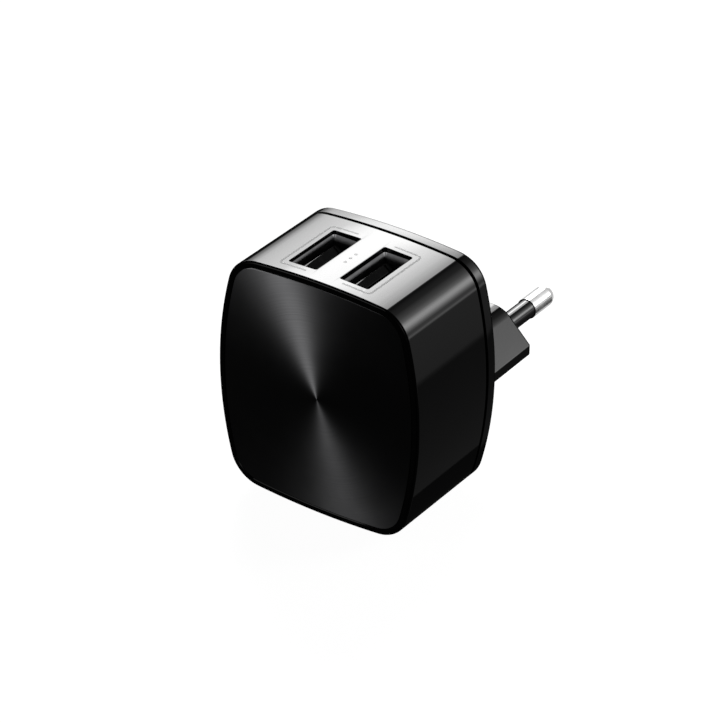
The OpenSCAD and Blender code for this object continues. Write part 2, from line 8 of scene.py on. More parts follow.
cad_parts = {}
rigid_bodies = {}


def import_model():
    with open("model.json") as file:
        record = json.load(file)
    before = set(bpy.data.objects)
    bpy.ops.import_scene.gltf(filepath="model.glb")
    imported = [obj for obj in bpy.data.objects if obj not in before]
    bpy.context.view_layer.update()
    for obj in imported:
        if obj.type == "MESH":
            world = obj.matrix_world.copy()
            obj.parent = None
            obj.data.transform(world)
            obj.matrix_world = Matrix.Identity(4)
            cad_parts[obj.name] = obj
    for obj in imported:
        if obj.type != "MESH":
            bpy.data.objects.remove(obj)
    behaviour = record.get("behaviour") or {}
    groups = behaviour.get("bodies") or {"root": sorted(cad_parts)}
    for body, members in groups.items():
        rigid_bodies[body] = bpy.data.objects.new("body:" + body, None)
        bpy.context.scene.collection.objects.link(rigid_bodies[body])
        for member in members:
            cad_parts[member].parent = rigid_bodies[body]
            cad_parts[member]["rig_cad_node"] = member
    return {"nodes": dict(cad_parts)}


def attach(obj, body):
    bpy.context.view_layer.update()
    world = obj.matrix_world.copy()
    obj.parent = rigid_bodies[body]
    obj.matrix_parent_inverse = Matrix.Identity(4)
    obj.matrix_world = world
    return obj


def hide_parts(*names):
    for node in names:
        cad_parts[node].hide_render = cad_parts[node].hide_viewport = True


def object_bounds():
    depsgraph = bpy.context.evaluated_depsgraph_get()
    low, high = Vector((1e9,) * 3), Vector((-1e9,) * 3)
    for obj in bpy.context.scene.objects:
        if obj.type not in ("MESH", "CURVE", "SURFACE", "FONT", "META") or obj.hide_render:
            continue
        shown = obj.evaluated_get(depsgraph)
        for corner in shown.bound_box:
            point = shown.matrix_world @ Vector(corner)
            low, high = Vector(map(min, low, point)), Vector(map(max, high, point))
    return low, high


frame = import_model()
cad_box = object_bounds()

# ---------------------------------------------------------------------------------------
# Main shell: the glossy black body that everything else goes into. It is injection moulded
# in a polished tool, as one cup with a recessed front for the plate, two openings in its top
# for the receptacles, ribs that the board rests on and pockets for the rear cover's hooks.
mm = 0.001  # sizes are in millimetres, and Blender's are in metres
body_w, body_h = 42.6, 47.2
side_rise, top_rise = 4.0, 1.5
corner_r = 6.7
body_z = 3.7
front_y, shell_end_y = -41.3, -20.1
recess_y, cavity_y = -40.25, -38.85
recess_inset = 1.3
wall = 1.6
rim_r = 0.6
edge_r = 0.12
ink_room = 0.012  # the surface lies this much lower, so that the print stays inside the part
port_x, port_y = 5.4, -31.2
opening_w, opening_l = 5.82, 13.3
opening_corner_r = 0.3
mouth_roll = ((0, -0.17), (0.035, -0.06), (0.12, 0), (0.6, 0.22))
rib_inner, rib_outer, rib_half, rib_end_y = 18.1, 19.9, 0.8, -24.65
pocket_inner, pocket_outer, pocket_half = 19.5, 20.2, 3.3
pocket_front_y, pocket_rear_y = -22.6, -21.4

side_r = (body_h ** 2 / 4 + side_rise ** 2) / (2 * side_rise)
top_r = (body_w ** 2 / 4 + top_rise ** 2) / (2 * top_rise)
side_c = Vector((body_w / 2 - side_r, 0))
top_c = Vector((0, body_h / 2 - top_r))


def arcs_meet(a, ra, b, rb):
    """The centre of the corner arc that touches the side arc and the top arc."""
    d = b - a
    along = (ra ** 2 - rb ** 2 + d.length_squared) / (2 * d.length)
    across = math.sqrt(ra ** 2 - along ** 2)
    u = d.normalized()
    return a + u * along + Vector((-u.y, u.x)) * across


corner_c = arcs_meet(side_c, side_r - corner_r, top_c, top_r - corner_r)
side_end = math.atan2(corner_c.y - side_c.y, corner_c.x - side_c.x)
top_start = math.atan2(corner_c.y - top_c.y, corner_c.x - top_c.x)


def arc_steps(c, r, start, end, steps, first=0):
    """Points of an arc as (centre, direction, radius), so that they can be inset later."""
    out = []
    for i in range(first, steps + 1):
        t = start + (end - start) * i / steps
        out.append((c, Vector((math.cos(t), math.sin(t))), r))
    return out


def four_quarters(quarter):
    """Mirrors a quarter of an outline into a closed one."""
    def flip(step, sx, sz):
        c, n, r = step
        return (Vector((c.x * sx, c.y * sz)), Vector((n.x * sx, n.y * sz)), r)
    back = quarter[-2::-1]
    return (quarter + [flip(s, -1, 1) for s in back]
            + [flip(s, -1, -1) for s in quarter[1:]] + [flip(s, 1, -1) for s in back[:-1]])


body_steps = four_quarters(
    arc_steps(side_c, side_r, 0, side_end, 12)
    + arc_steps(corner_c, corner_r, side_end, top_start, 16, 1)
    + arc_steps(top_c, top_r, top_start, math.pi / 2, 12, 1))


def body_ring(inset, y):
    """The body's outline at a depth, drawn in by an inset."""
    return [((c.x + n.x * (r - inset)) * mm, y * mm, (c.y + n.y * (r - inset) + body_z) * mm)
            for c, n, r in body_steps]


def rounding(inset, y, r, to_inset, to_y, steps=5):
    """Profile points round an outer edge, from the end face to the side."""
    out = []
    for i in range(steps + 1):
        t = math.pi / 2 * i / steps
        out.append((inset + to_inset * r * (1 - math.sin(t)), y + to_y * r * (1 - math.cos(t))))
    return out


def thing(name, rings, close=False):
    """A mesh object skinned over rings of equally many points, capped or closed into a loop."""
    mesh = bpy.data.meshes.new(name)
    bm = bmesh.new()
    rows = [[bm.verts.new(p) for p in ring] for ring in rings]
    pairs = list(zip(rows, rows[1:])) + ([(rows[-1], rows[0])] if close else [])
    for a, b in pairs:
        for i in range(len(a)):
            j = (i + 1) % len(a)
            bm.faces.new((a[i], a[j], b[j], b[i]))
    if not close:
        bm.faces.new(rows[0][::-1])
        bm.faces.new(rows[-1])
    bmesh.ops.recalc_face_normals(bm, faces=bm.faces)
    bm.to_mesh(mesh)
    bm.free()
    made = bpy.data.objects.new(name, mesh)
    bpy.context.scene.collection.objects.link(made)
    return made


def carve(piece, tool, how="DIFFERENCE"):
    """Cuts a tool out of a piece, or joins it on, and keeps the result as its mesh."""
    step = piece.modifiers.new("carve", "BOOLEAN")
    step.object, step.operation, step.solver = tool, how, "EXACT"
    settle(piece)
    bpy.data.objects.remove(tool)


def settle(piece):
    """Turns a piece's modifiers into its mesh."""
    graph = bpy.context.evaluated_depsgraph_get()
    done = bpy.data.meshes.new_from_object(piece.evaluated_get(graph))
    piece.modifiers.clear()
    piece.data = done


def block(low, high, name="tool"):
    """A plain block to cut or join with, from its corners in millimetres."""
    (x0, y0, z0), (x1, y1, z1) = [[v * mm for v in p] for p in (low, high)]
    return thing(name, [[(x0, y0, z), (x1, y0, z), (x1, y1, z), (x0, y1, z)] for z in (z0, z1)])


def smooth(piece, bevel=0, segments=2, angle=35):
    """Smooth shading, with a small radius on the hard edges where one is given."""
    if bevel:
        round_edges = piece.modifiers.new("edges", "BEVEL")
        round_edges.width, round_edges.segments = bevel * mm, segments
        round_edges.limit_method, round_edges.angle_limit = "ANGLE", math.radians(angle)
        round_edges.use_clamp_overlap = True
    if "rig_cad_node" not in piece:
        for face in piece.data.polygons:
            face.use_smooth = True
        if not bevel:
            piece.data.set_sharp_from_angle(angle=math.radians(angle))
        weigh = piece.modifiers.new("normals", "WEIGHTED_NORMAL")
        weigh.keep_sharp = True


def rounded_rectangle(half_x, half_y, r, z, at=(0, 0), steps=5):
    """A ring of points, its z from a number or from a function of x."""
    ring = []
    for sx, sy, start in ((1, 1, 0), (-1, 1, 90), (-1, -1, 180), (1, -1, 270)):
        for i in range(steps + 1):
            t = math.radians(start + 90 * i / steps)
            x = at[0] + sx * (half_x - r) + r * math.cos(t)
            y = at[1] + sy * (half_y - r) + r * math.sin(t)
            ring.append((x * mm, y * mm, (z(x) if callable(z) else z) * mm))
    return ring


def top_z(x):
    """Height of the shell's top surface at a distance from its middle."""
    return body_z + top_c.y + math.sqrt((top_r - ink_room) ** 2 - x * x)


shell_profile = ([(recess_inset, recess_y), (recess_inset, front_y + edge_r)]
                 + [(recess_inset - edge_r, front_y)]
                 + rounding(ink_room, front_y, rim_r, 1, 1, 8)
                 + [(ink_room, shell_end_y - edge_r), (edge_r * 0.3 + ink_room, shell_end_y - edge_r * 0.3),
                    (edge_r + ink_room, shell_end_y), (wall, shell_end_y), (wall, cavity_y)])
shell = thing("shell", [body_ring(inset, y) for inset, y in shell_profile])
for side in (-1, 1):
    at = (side * port_x, port_y)
    mouth = [rounded_rectangle(opening_w / 2 + grow, opening_l / 2 + grow, opening_corner_r + grow,
                               (lambda x, rise=rise: top_z(x) + rise), at)
             for grow, rise in mouth_roll]
    mouth.insert(0, rounded_rectangle(opening_w / 2, opening_l / 2, opening_corner_r, body_z, at))
    carve(shell, thing("tool", mouth))
for side in (-1, 1):
    for row in (-9, 9):
        rib = sorted((side * rib_inner, side * rib_outer))
        carve(shell, block((rib[0], cavity_y - 0.4, body_z + row - rib_half),
                           (rib[1], rib_end_y, body_z + row + rib_half)), "UNION")
    pocket = sorted((side * pocket_inner, side * pocket_outer))
    carve(shell, block((pocket[0], pocket_front_y, body_z - pocket_half),
                       (pocket[1], pocket_rear_y, body_z + pocket_half)))
smooth(shell)


def node(tree, kind, **values):
    """A shader node. Capitalised values go to its inputs and the others to its settings."""
    made = tree.nodes.new(kind)
    for key, value in values.items():
        if key[0].isupper():
            socket = made.inputs[key.replace("_", " ")]
            if isinstance(value, bpy.types.NodeSocket):
                tree.links.new(value, socket)
            else:
                socket.default_value = value
        else:
            setattr(made, key, value)
    return made


def ramp(tree, factor, stops, mode="LINEAR"):
    """A colour ramp from (place, grey or colour) stops."""
    made = node(tree, "ShaderNodeValToRGB", Fac=factor)
    made.color_ramp.interpolation = mode
    stops_there = made.color_ramp.elements
    while len(stops_there) < len(stops):
        stops_there.new(0.5)
    for stop, (place, value) in zip(stops_there, stops):
        stop.position = place
        stop.color = (*value, 1) if isinstance(value, tuple) else (value, value, value, 1)
    return made.outputs["Color"]


def coat(name, dark, light, patch, rough, grain, height, **sockets):
    """A finish whose colour and roughness drift over patches and whose skin has a fine grain.
    Patch, grain and height are in millimetres."""
    made = bpy.data.materials.new(name)
    made.use_nodes = True
    tree = made.node_tree
    shader = tree.nodes["Principled BSDF"]
    place = node(tree, "ShaderNodeTexCoord").outputs["Object"]
    cloud = node(tree, "ShaderNodeTexNoise", Vector=place, Scale=1 / (patch * mm), Detail=4.0)
    colour = ramp(tree, cloud.outputs["Fac"], [(0.3, dark), (0.7, light)])
    tree.links.new(colour, shader.inputs["Base Color"])
    drift = node(tree, "ShaderNodeMapRange", Value=cloud.outputs["Fac"], From_Min=0.3, From_Max=0.7,
                 To_Min=rough[0], To_Max=rough[1])
    tree.links.new(drift.outputs["Result"], shader.inputs["Roughness"])
    fine = node(tree, "ShaderNodeTexNoise", Vector=place, Scale=1 / (grain * mm), Detail=3.0)
    bump = node(tree, "ShaderNodeBump", Height=fine.outputs["Fac"], Distance=height * mm, Strength=1.0)
    tree.links.new(bump.outputs["Normal"], shader.inputs["Normal"])
    for key, value in sockets.items():
        shader.inputs[key.replace("_", " ")].default_value = value
    return made


def dress(piece, finish):
    """Gives a piece its material, whether it is a new mesh or a CAD node."""
    if piece.material_slots:
        for slot in piece.material_slots:
            slot.material = finish
    else:
        piece.data.materials.append(finish)


gloss_black = coat("gloss_black", (0.0022, 0.0022, 0.0024), (0.0036, 0.0036, 0.0038), 6,
                   (0.03, 0.05), 1.4, 0.0008, IOR=1.5)
dress(shell, gloss_black)
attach(shell, "charger")
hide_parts("main_shell")

# ---------------------------------------------------------------------------------------
# Rear cover: closes the shell from behind and carries the plug nose in the same moulding.
# Its lip slides into the shell and its hooks snap into the pockets, which leaves a thin
# shadow gap. The nose is hollow, with a thick end wall that the two pins come through.
cover_front_y, rear_y = -19.5, -16.8
lip_front_y, cover_inner_y = -23.05, -18.6
lip_outer, lip_inner = 1.66, 2.76
cover_edge_r = 0.9
nose_half_w, nose_half_h = 17.65, 6.85
nose_tip_r, nose_tip_h, nose_corner_r = 0.3, 0.8, 5.0
nose_draft, nose_edge_r = 0.2, 0.5
nose_wall, nose_end_wall = 1.8, 3.0
nose_fillet = 0.4
fillet_line = ((0.55, 0.11), (0.29, 0.29), (0.11, 0.55))
pin_x = 9.3
sleeve_hole_r, hole_room = 1.825, 0.005
hook_inner, hook_outer, hook_half = 19.4, 20.0, 3
hook_front_y, hook_rear_y = -22.4, -21.6


def nose_ring(grow, y):
    """The nose's outline at a depth: a flat hexagon with its side points cut off square."""
    a, b = nose_half_w + grow, nose_half_h + grow
    slant = a - nose_tip_r + nose_tip_h + nose_tip_r * math.sqrt(2)
    cz = b - nose_corner_r
    cx = slant - math.sqrt(2) * nose_corner_r - cz
    steps = four_quarters(
        [(Vector((a - nose_tip_r, 0)), Vector((1, 0)), nose_tip_r)]
        + arc_steps(Vector((a - nose_tip_r, nose_tip_h)), nose_tip_r, 0, math.pi / 4, 5)
        + arc_steps(Vector((cx, cz)), nose_corner_r, math.pi / 4, math.pi / 2, 12))
    return [((c.x + n.x * r) * mm, y * mm, (c.y + n.y * r) * mm) for c, n, r in steps]


cover_profile = ([(lip_inner, cover_inner_y), (lip_inner, lip_front_y), (lip_outer + 0.2, lip_front_y),
                  (lip_outer, lip_front_y + 0.2), (lip_outer, cover_front_y), (edge_r, cover_front_y),
                  (edge_r * 0.3, cover_front_y + edge_r * 0.3), (0, cover_front_y + edge_r)]
                 + rounding(0, rear_y, cover_edge_r, 1, -1, 10)[::-1])
cover = thing("rear_cover_moulding", [body_ring(inset, y) for inset, y in cover_profile])
nose_profile = [(-0.1, rear_y - 1), (nose_draft + nose_fillet, rear_y - 0.01)]
nose_profile += [(nose_draft + nose_fillet * out, rear_y + nose_fillet * along)
                 for out, along in fillet_line]
nose_profile += [(nose_draft, rear_y + nose_fillet)]
nose_profile += [(-inset, y) for inset, y in rounding(0, 0, nose_edge_r, 1, -1, 6)[::-1]]
carve(cover, thing("tool", [nose_ring(grow, y) for grow, y in nose_profile]), "UNION")
carve(cover, thing("tool", [nose_ring(-nose_wall, y) for y in (cover_inner_y - 1, -nose_end_wall)]))


def turned(name, x, points, close=False, steps=64):
    """A round part on an axis along Y, from (radius, y) points."""
    rings = []
    for radius, y in points:
        rings.append([((x + radius * math.cos(2 * math.pi * i / steps)) * mm, y * mm,
                       radius * math.sin(2 * math.pi * i / steps) * mm) for i in range(steps)])
    return thing(name, rings, close)


for side in (-1, 1):
    carve(cover, turned("tool", side * pin_x, [(sleeve_hole_r + hole_room, y) for y in (-5, 1)]))
    hook = sorted((side * hook_inner, side * hook_outer))
    carve(cover, block((hook[0], hook_front_y, body_z - hook_half),
                       (hook[1], hook_rear_y, body_z + hook_half)), "UNION")
smooth(cover)
cover_black = coat("cover_black", (0.0022, 0.0022, 0.0024), (0.0038, 0.0038, 0.004), 5,
                   (0.06, 0.09), 0.9, 0.0009, IOR=1.5, Specular_IOR_Level=0.38)
dress(cover, cover_black)
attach(cover, "charger")
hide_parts("rear_cover")

# ---------------------------------------------------------------------------------------
# Front plate: thin aluminium sheet, stamped to the recess, faced on a lathe and dyed black.
# The tool leaves fine rings round the middle, which draw light out into two long wedges.
plate_front_y, plate_rear_y = -41.2, -40.4
plate_inset = 1.35
plate_edge_r = 0.1
plate_flat_inset = 4.85
plate_reach = 25
ring_pitch, ring_deep = 0.45, 0.012
ring_slope = -10
plate_profile = ([(plate_flat_inset, plate_front_y)]
                 + rounding(plate_inset, plate_front_y, plate_edge_r, 1, 1, 4)
                 + [(plate_inset, plate_rear_y)])
plate = thing("spun_plate", [body_ring(inset, y) for inset, y in plate_profile])
smooth(plate)
plate.data.use_auto_texspace = False
plate.data.texspace_location = (0, plate_front_y * mm, body_z * mm)
plate.data.texspace_size = (plate_reach * mm, plate_reach * mm, plate_reach * mm)
spun_black = coat("spun_black", (0.105, 0.105, 0.108), (0.125, 0.125, 0.128), 9,
                  (0.48, 0.51), 0.2, 0.0, Metallic=1.0, Anisotropic=0.844, Anisotropic_Rotation=0.25)
tree = spun_black.node_tree
place = tree.nodes["Texture Coordinate"].outputs["Object"]
middle = node(tree, "ShaderNodeVectorMath", operation="SUBTRACT")
tree.links.new(place, middle.inputs[0])
middle.inputs[1].default_value = (0, 0, body_z * mm)
flat = node(tree, "ShaderNodeVectorMath", operation="MULTIPLY")
tree.links.new(middle.outputs[0], flat.inputs[0])
flat.inputs[1].default_value = (1, 0, 1)
reach = node(tree, "ShaderNodeVectorMath", operation="LENGTH")
tree.links.new(flat.outputs[0], reach.inputs[0])
turns = node(tree, "ShaderNodeMath", operation="DIVIDE")
tree.links.new(reach.outputs["Value"], turns.inputs[0])
turns.inputs[1].default_value = ring_pitch * mm
rings = node(tree, "ShaderNodeTexNoise", noise_dimensions="1D", W=turns.outputs[0], Scale=1.0,
             Detail=2.0)
wobble = node(tree, "ShaderNodeMath", operation="MULTIPLY")
tree.links.new(rings.outputs["Fac"], wobble.inputs[0])
wobble.inputs[1].default_value = ring_deep * mm
height = node(tree, "ShaderNodeMath", operation="MULTIPLY_ADD")
tree.links.new(reach.outputs["Value"], height.inputs[0])
height.inputs[1].default_value = math.tan(math.radians(ring_slope))
tree.links.new(wobble.outputs[0], height.inputs[2])
bump = tree.nodes["Bump"]
tree.links.new(height.outputs[0], bump.inputs["Height"])
bump.inputs["Distance"].default_value = 1.0
shader = tree.nodes["Principled BSDF"]
along = node(tree, "ShaderNodeTangent", direction_type="RADIAL", axis="Y")
tree.links.new(along.outputs["Tangent"], shader.inputs["Tangent"])
dress(plate, spun_black)
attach(plate, "charger")
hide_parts("front_plate")

# ---------------------------------------------------------------------------------------
# Adhesive film: double-sided tape, die-cut a little smaller than the plate, that holds the
# plate in the shell's recess. It is hidden behind the plate.
adhesive = coat("adhesive", (0.62, 0.6, 0.54), (0.78, 0.77, 0.72), 3, (0.45, 0.6), 0.5, 0.01)
dress(frame["nodes"]["plate_tape"], adhesive)

# ---------------------------------------------------------------------------------------
# Pins: two solid pins turned from brass bar and nickel plated, with a domed end. Each is
# necked down under its sleeve, and a collar behind the nose's end wall keeps it in.
pin_r, pin_neck_r, pin_collar_r, pin_tail_r = 2.0, 1.5, 2.6, 1.0
pin_len, sleeve_len = 19.0, 11.5
pin_tail_y, collar_y, flange_y = -20.6, -6.0, -4.5
dome_steps = 14
bright_nickel = coat("bright_nickel", (0.6, 0.6, 0.6), (0.68, 0.68, 0.68), 2,
                     (0.12, 0.2), 0.25, 0.0012, Metallic=1.0)
pin_points = [(0.0001, pin_tail_y), (pin_tail_r - 0.2, pin_tail_y), (pin_tail_r, pin_tail_y + 0.2),
              (pin_tail_r, collar_y), (pin_collar_r - 0.1, collar_y), (pin_collar_r, collar_y + 0.1),
              (pin_collar_r, flange_y), (pin_neck_r, flange_y), (pin_neck_r, sleeve_len),
              (pin_r - 0.08, sleeve_len), (pin_r, sleeve_len + 0.08)]
for i in range(dome_steps + 1):
    t = math.pi / 2 * i / dome_steps
    pin_points.append((max(pin_r * math.cos(t), 0.0001), pin_len - pin_r + pin_r * math.sin(t)))
for name, side in (("live_pin", 1), ("neutral_pin", -1)):
    pin = turned(name + "_bar", side * pin_x, pin_points)
    smooth(pin)
    dress(pin, bright_nickel)
    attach(pin, "charger")
    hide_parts(name)

# ---------------------------------------------------------------------------------------
# Sleeves: black insulation moulded round each pin's neck, so that no live metal can be
# touched while the plug is part way in. A flange behind the end wall holds each sleeve.
sleeve_r, flange_r = 1.825, 3.0
sleeve_black = coat("sleeve_black", (0.004, 0.004, 0.0042), (0.007, 0.007, 0.0074), 2,
                    (0.07, 0.1), 0.5, 0.001, IOR=1.5, Specular_IOR_Level=0.65)
sleeve_bore_r = pin_neck_r + 0.003
sleeve_points = [(sleeve_bore_r, flange_y), (flange_r - 0.15, flange_y), (flange_r, flange_y + 0.15),
                 (flange_r, -nose_end_wall), (sleeve_r, -nose_end_wall), (sleeve_r, sleeve_len - 0.1),
                 (sleeve_r - 0.1, sleeve_len), (sleeve_bore_r, sleeve_len)]
for name, side in (("live_sleeve", 1), ("neutral_sleeve", -1)):
    sleeve = turned(name + "_tube", side * pin_x, sleeve_points, close=True)
    smooth(sleeve)
    dress(sleeve, sleeve_black)
    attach(sleeve, "charger")
    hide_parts(name)

# ---------------------------------------------------------------------------------------
# Pin holder: a stiff plate pressed into the hollow nose behind the pins' collars. It is
# moulded in glass-filled plastic, so its skin is dull and a little rough.
holder_black = coat("holder_black", (0.012, 0.012, 0.012), (0.024, 0.024, 0.025), 1.5,
                    (0.5, 0.7), 0.3, 0.01)
dress(frame["nodes"]["pin_holder"], holder_black)
smooth(frame["nodes"]["pin_holder"], 0.15)

# ---------------------------------------------------------------------------------------
# Mains contacts: forked springs stamped from brass sheet. Their legs are soldered into the
# board and the two prongs of each grip the tail of a pin when the cover is closed.
spring_brass = coat("spring_brass", (0.62, 0.42, 0.16), (0.78, 0.56, 0.24), 1.2,
                    (0.25, 0.4), 0.2, 0.003, Metallic=1.0)
for name in ("live_contact", "neutral_contact"):
    dress(frame["nodes"][name], spring_brass)
    smooth(frame["nodes"][name], 0.06)

# ---------------------------------------------------------------------------------------
# Main board: green glass-epoxy, cut to the body's outline, with copper tracks that show
# through the solder mask, and a routed slot between the mains and the low-voltage sides.
track_pitch = 1.9
board_green = coat("board_green", (0.01, 0.085, 0.03), (0.016, 0.12, 0.045), 4, (0.28, 0.42), 0.3, 0.004)
tree = board_green.node_tree
place = tree.nodes["Texture Coordinate"].outputs["Object"]
turn = node(tree, "ShaderNodeMapping", Vector=place, Rotation=(math.pi / 2, 0, 0))
tracks = node(tree, "ShaderNodeTexBrick", Vector=turn.outputs[0], Scale=1 / (track_pitch * 4 * mm),
              Mortar_Size=0.09, Mortar_Smooth=0.1, Bias=0.0, Brick_Width=1.4, Row_Height=0.3)


def colour_over(finish, mask, colour, blend="MIX"):
    """Lays a second colour over a finish where a mask is white."""
    tree = finish.node_tree
    base = tree.nodes["Principled BSDF"].inputs["Base Color"]
    mix = node(tree, "ShaderNodeMix", data_type="RGBA", blend_type=blend)
    tree.links.new(mask, mix.inputs[0])
    tree.links.new(base.links[0].from_socket, mix.inputs[6])
    mix.inputs[7].default_value = (*colour, 1)
    tree.links.new(mix.outputs[2], base)


colour_over(board_green, tracks.outputs["Fac"], (1.0, 0.55, 0.5), "MULTIPLY")
dress(frame["nodes"]["main_board"], board_green)

# ---------------------------------------------------------------------------------------
# Solder joints: small cones of tin on the board's rear face. The molten tin has climbed
# each lead from its pad, so that it holds the part and carries its current.
solder = coat("solder", (0.55, 0.55, 0.56), (0.7, 0.7, 0.71), 0.6, (0.2, 0.38), 0.15, 0.01, Metallic=1.0)
dress(frame["nodes"]["solder_joints"], solder)
smooth(frame["nodes"]["solder_joints"], 0.05)

# ---------------------------------------------------------------------------------------
# Transformer: two E-shaped ferrite halves round a black moulded bobbin. The coils are
# wrapped in layers of yellow polyester tape, and their ends go to tinned pins.
layer_pitch, layer_deep = 6, 0.05
ferrite = coat("ferrite", (0.022, 0.022, 0.024), (0.045, 0.045, 0.047), 0.8, (0.5, 0.75), 0.15, 0.012)
bobbin_black = coat("bobbin_black", (0.01, 0.01, 0.01), (0.018, 0.018, 0.018), 2, (0.35, 0.5), 0.4, 0.006)
winding_tape = coat("winding_tape", (0.72, 0.5, 0.04), (0.85, 0.63, 0.08), 2.5, (0.18, 0.32), 0.3, 0.004)
tree = winding_tape.node_tree
place = tree.nodes["Texture Coordinate"].outputs["Object"]
layers = node(tree, "ShaderNodeTexWave", Vector=place, wave_type="BANDS", bands_direction="Y",
              Scale=1 / (layer_pitch * mm), Distortion=1.5, Detail=2.0)
lap = tree.nodes["Bump"]
tree.links.new(layers.outputs["Fac"], lap.inputs["Height"])
lap.inputs["Distance"].default_value = layer_deep * mm
tinned_lead = coat("tinned_lead", (0.6, 0.6, 0.62), (0.72, 0.72, 0.74), 0.8, (0.2, 0.32), 0.2, 0.003,
                   Metallic=1.0)
for name, finish, radius in (("transformer_core", ferrite, 0.25),
                             ("transformer_bobbin", bobbin_black, 0.15),
                             ("transformer_winding", winding_tape, 0.25),
                             ("transformer_pins", tinned_lead, 0.05)):
    dress(frame["nodes"][name], finish)
    smooth(frame["nodes"][name], radius)

# ---------------------------------------------------------------------------------------
# Electrolytic capacitors: aluminium cans crimped over a rubber seal, in a shrunk sleeve
# with a pale stripe down the negative side. Two smooth the mains and two the output.
stripe_from = 3.1
bulk_brown = ((0.05, 0.025, 0.012), (0.075, 0.04, 0.02), (0.55, 0.5, 0.4))
output_green = ((0.01, 0.06, 0.03), (0.02, 0.09, 0.045), (0.6, 0.62, 0.55))


def can_finish(name, dark, light, stripe, x):
    """A shrunk sleeve with a stripe down the left side of a can whose axis is at x."""
    made = coat(name, dark, light, 2, (0.16, 0.26), 0.5, 0.004)
    tree = made.node_tree
    place = tree.nodes["Texture Coordinate"].outputs["Object"]
    parts = node(tree, "ShaderNodeSeparateXYZ", Vector=place)
    side = node(tree, "ShaderNodeMath", operation="LESS_THAN")
    tree.links.new(parts.outputs["X"], side.inputs[0])
    side.inputs[1].default_value = (x - stripe_from) * mm
    colour_over(made, side.outputs[0], stripe)
    return made


for name, colours, x in (("bulk_capacitor_upper", bulk_brown, -14),
                         ("bulk_capacitor_lower", bulk_brown, -13),
                         ("output_capacitor_left", output_green, -13.3),
                         ("output_capacitor_right", output_green, 13.3)):
    dress(frame["nodes"][name], can_finish(name + "_sleeve", *colours, x))
    smooth(frame["nodes"][name], 0.08)

# ---------------------------------------------------------------------------------------
# Mains input parts: a choke wound on a drum core under black heat-shrink, a blue-grey
# fusible resistor with paint bands, a varistor and a safety capacitor, both dipped discs.
fuse_bottom_z, fuse_top_z = -11.2, -5.2
band_stops = [(0.0, 0.0), (0.25, 1.0), (0.32, 0.0), (0.42, 1.0), (0.49, 0.0), (0.6, 1.0), (0.67, 0.0)]
choke_skin = coat("choke_skin", (0.008, 0.008, 0.008), (0.016, 0.016, 0.016), 1.5, (0.4, 0.55), 0.6, 0.03)
fuse_paint = coat("fuse_paint", (0.12, 0.2, 0.26), (0.17, 0.27, 0.34), 0.7, (0.3, 0.45), 0.15, 0.006)
tree = fuse_paint.node_tree
height = node(tree, "ShaderNodeSeparateXYZ", Vector=tree.nodes["Texture Coordinate"].outputs["Object"])
spot = node(tree, "ShaderNodeMapRange", Value=height.outputs["Z"], From_Min=fuse_bottom_z * mm,
            From_Max=fuse_top_z * mm)
bands = ramp(tree, spot.outputs["Result"], band_stops, "CONSTANT")
colour_over(fuse_paint, bands, (0.25, 0.06, 0.02))
varistor_dip = coat("varistor_dip", (0.012, 0.04, 0.22), (0.02, 0.06, 0.3), 1.5, (0.25, 0.4), 0.6, 0.02)
safety_dip = coat("safety_dip", (0.02, 0.13, 0.36), (0.035, 0.18, 0.45), 1.5, (0.22, 0.38), 0.6, 0.02)
for name, finish, radius in (("input_choke", choke_skin, 0.2), ("fuse_resistor", fuse_paint, 0.05),
                             ("varistor", varistor_dip, 0.1), ("bridging_capacitor", safety_dip, 0.1)):
    dress(frame["nodes"][name], finish)
    smooth(frame["nodes"][name], radius)

# ---------------------------------------------------------------------------------------
# Chips and small parts: black epoxy packages with tinned legs, thick-film resistors and
# ceramic capacitors, all soldered flat on the board's rear face by machine.
chip_epoxy = coat("chip_epoxy", (0.008, 0.008, 0.009), (0.016, 0.016, 0.017), 0.5, (0.4, 0.6), 0.08, 0.006)
resistor_glaze = coat("resistor_glaze", (0.01, 0.01, 0.011), (0.022, 0.022, 0.024), 0.4, (0.2, 0.35), 0.1,
                      0.003)
ceramic_tan = coat("ceramic_tan", (0.3, 0.22, 0.12), (0.42, 0.32, 0.2), 0.4, (0.3, 0.5), 0.1, 0.004)
for name in ("bridge_rectifier", "controller_chip", "output_diode", "port_detection_chip"):
    dress(frame["nodes"][name], chip_epoxy)
    smooth(frame["nodes"][name], 0.06)
for name, finish in (("surface_resistors", resistor_glaze), ("surface_capacitors", ceramic_tan)):
    dress(frame["nodes"][name], finish)
    smooth(frame["nodes"][name], 0.06)

# ---------------------------------------------------------------------------------------
# Barrier sheet: stiff pressed paper that stands between the transformer and the
# receptacles, so that the mains side can never reach the low-voltage side.
fish_paper = coat("fish_paper", (0.55, 0.54, 0.47), (0.68, 0.67, 0.6), 1.2, (0.7, 0.85), 0.25, 0.015)
dress(frame["nodes"]["barrier_sheet"], fish_paper)

# ---------------------------------------------------------------------------------------
# Receptacle shells: nickel-plated steel sheet, folded into a box. The mouth is flared a
# little so that a plug finds its way in, four springs are cut from the long walls and bent
# inwards, and four legs go through the board.
steel_t = 0.3
mouth_half_w, mouth_half_l = 2.56, 6.25
steel_top_z, steel_bottom_z = 26.5, 12.3
steel_roll = ((0.1, 0), (0.03, -0.03), (0, -0.08))
flare = 0.2
flare_line = ((0, 1), (0.2, 0.8), (0.45, 0.45), (0.8, 0.1), (1.1, 0))
fold_r, fold_inner_r = 0.6, 0.32
spring_half_w, spring_foot_z, spring_len = 0.8, 17.5, 4.6
spring_rows = (-3.2, 3.2)
spring_line = ((0, -0.1), (0.06, 1), (0.24, 2.6), (0.33, 3.6), (0.3, 4.1), (0.14, spring_len))
window_inner, window_outer, window_room = 2.3, 3.2, 0.4
leg_half_w, leg_rows, leg_len = 0.8, (3.4, 10.2), 0.55
